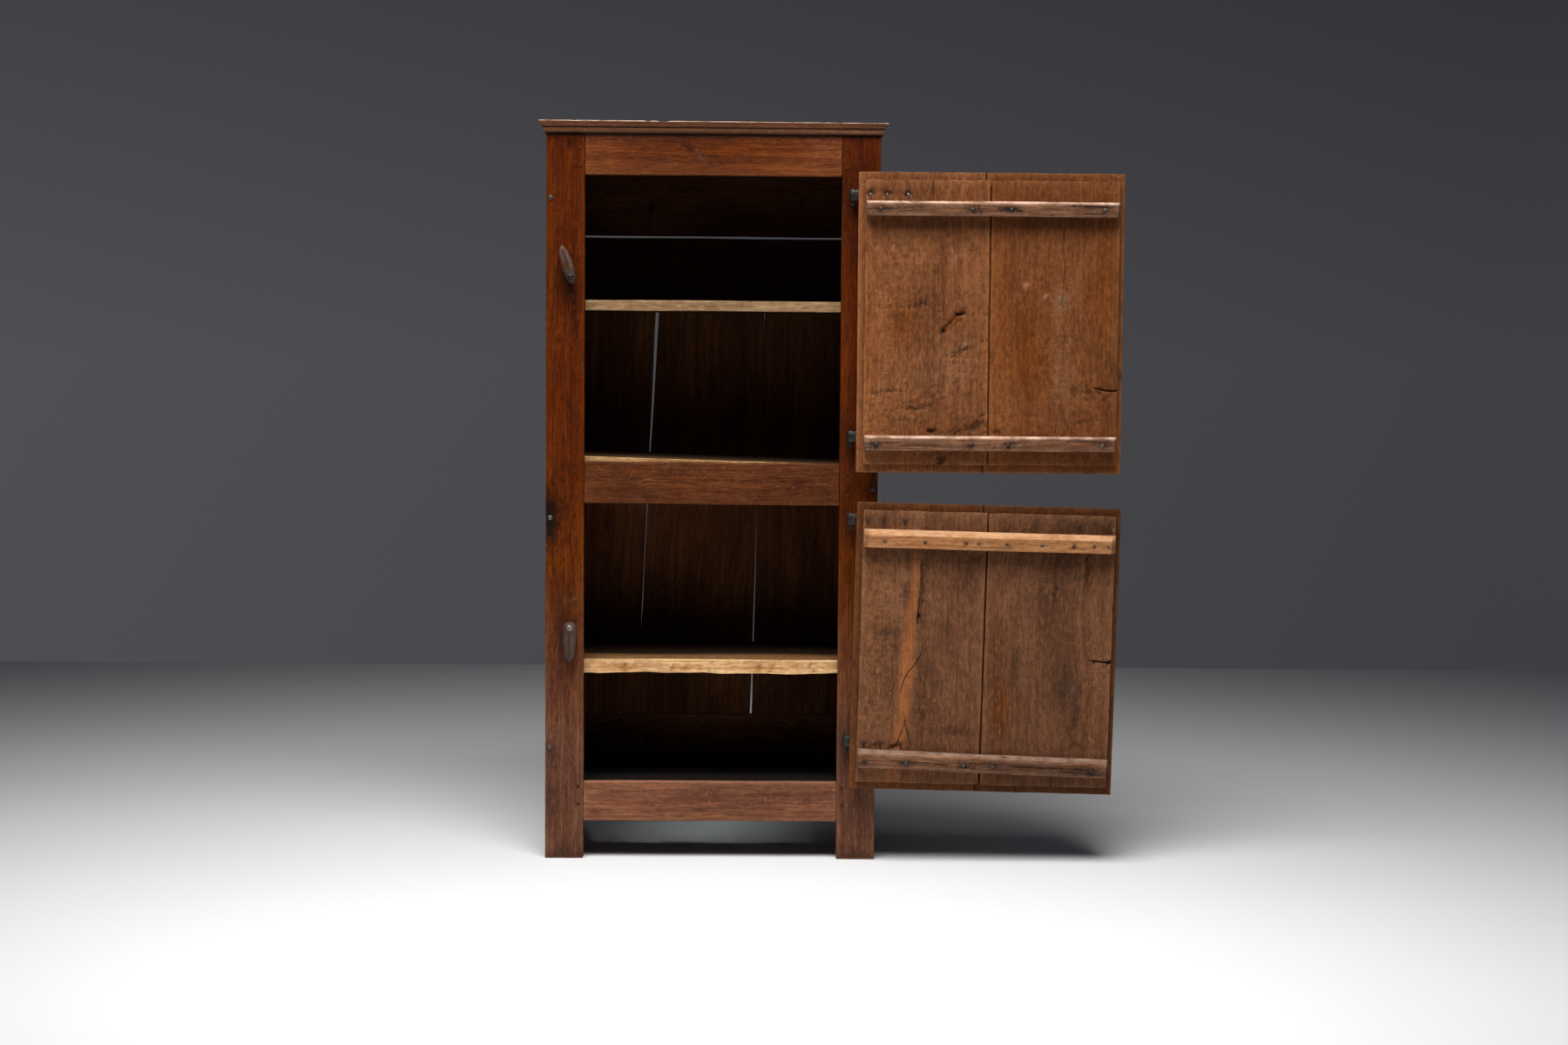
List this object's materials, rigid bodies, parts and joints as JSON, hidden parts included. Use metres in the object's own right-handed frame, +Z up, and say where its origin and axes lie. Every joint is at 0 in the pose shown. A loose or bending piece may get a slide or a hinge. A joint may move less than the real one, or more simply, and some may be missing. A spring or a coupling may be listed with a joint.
{
  "type": "plank cupboard",
  "caption": "Tall rustic plank cupboard with a pegged face frame, moulded cornice, shelves, lipped doors on strap hinges and wooden turn buttons.",
  "frame": {"origin": "on the floor under the middle of the carcase, half way between its outer sides and half way between the face frame's front and the back boards' rear face", "axes": "+X to the right seen from the front, +Y to the back, +Z up; rest is both doors turned fully open to the right"},
  "size_m": [1.3388, 0.5032, 1.7],
  "materials": {
    "frame_oak": "waxed, worn",
    "cornice_oak": "waxed, worn",
    "carcase_oak": "raw, aged",
    "shelf_oak": "raw, aged",
    "door_oak": "raw, aged",
    "batten_oak": "raw, aged",
    "pale_oak": "raw",
    "button_oak": "worn",
    "forged_iron": "forged, dark"
  },
  "bodies": {
    "carcase": {"stile_left": "frame_oak", "stile_right": "frame_oak", "rail_top": "frame_oak", "rail_middle": "frame_oak", "rail_bottom": "frame_oak", "frame_pegs": "frame_oak", "frame_nails": "forged_iron", "side_left_front": "frame_oak", "side_left_rear": "frame_oak", "side_right_front": "frame_oak", "side_right_rear": "frame_oak", "top_board_front": "carcase_oak", "top_board_rear": "carcase_oak", "cornice_front": "cornice_oak", "cornice_left": "cornice_oak", "cornice_right": "cornice_oak", "shelf_upper": "shelf_oak", "shelf_middle": "shelf_oak", "shelf_lower": "shelf_oak", "bottom_board": "shelf_oak", "cleat_upper_left": "carcase_oak", "cleat_upper_right": "carcase_oak", "cleat_middle_left": "carcase_oak", "cleat_middle_right": "carcase_oak", "cleat_lower_left": "carcase_oak", "cleat_lower_right": "carcase_oak", "cleat_bottom_left": "carcase_oak", "cleat_bottom_right": "carcase_oak", "back_board_top": "carcase_oak", "back_board_second": "carcase_oak", "back_board_left": "carcase_oak", "back_board_middle": "carcase_oak", "back_board_right": "carcase_oak", "back_rail_bottom": "carcase_oak", "back_nails": "forged_iron", "pintle_upper_high": "forged_iron", "pintle_upper_low": "forged_iron", "pintle_lower_high": "forged_iron", "pintle_lower_low": "forged_iron", "pivot_nail_upper": "forged_iron", "pivot_nail_lower": "forged_iron"},
    "upper_door": {"upper_door_hinge_board": "door_oak", "upper_door_latch_board": "door_oak", "upper_door_top_batten": "batten_oak", "upper_door_bottom_batten": "batten_oak", "upper_door_batten_nails": "forged_iron", "upper_door_top_strap": "forged_iron", "upper_door_bottom_strap": "forged_iron", "upper_door_strap_nails": "forged_iron"},
    "lower_door": {"lower_door_hinge_board": "door_oak", "lower_door_latch_board": "door_oak", "lower_door_top_batten": "pale_oak", "lower_door_bottom_batten": "batten_oak", "lower_door_batten_nails": "forged_iron", "lower_door_top_strap": "forged_iron", "lower_door_bottom_strap": "forged_iron", "lower_door_strap_nails": "forged_iron"},
    "upper_button": {"turn_button_upper": "button_oak"},
    "lower_button": {"turn_button_lower": "button_oak"}
  },
  "joints": [
    {"name": "upper_door_hinge", "type": "hinge", "parent": "carcase", "child": "upper_door", "pos_m": [0.3175, -0.2303, 0.904], "axis": [0, 0, -1], "range_deg": [-10, 180]},
    {"name": "lower_door_hinge", "type": "hinge", "parent": "carcase", "child": "lower_door", "pos_m": [0.3125, -0.2303, 0.174], "axis": [-0.0105, 0, -0.9999], "range_deg": [-10, 180]},
    {"name": "upper_button_turn", "type": "hinge", "parent": "carcase", "child": "upper_button", "pos_m": [-0.3245, -0.21, 1.345], "axis": [0, 1, 0], "range_deg": [-20, 107.5]},
    {"name": "lower_button_turn", "type": "hinge", "parent": "carcase", "child": "lower_button", "pos_m": [-0.3245, -0.21, 0.54], "axis": [0, -1, 0], "range_deg": [-30, 90]}
  ]
}
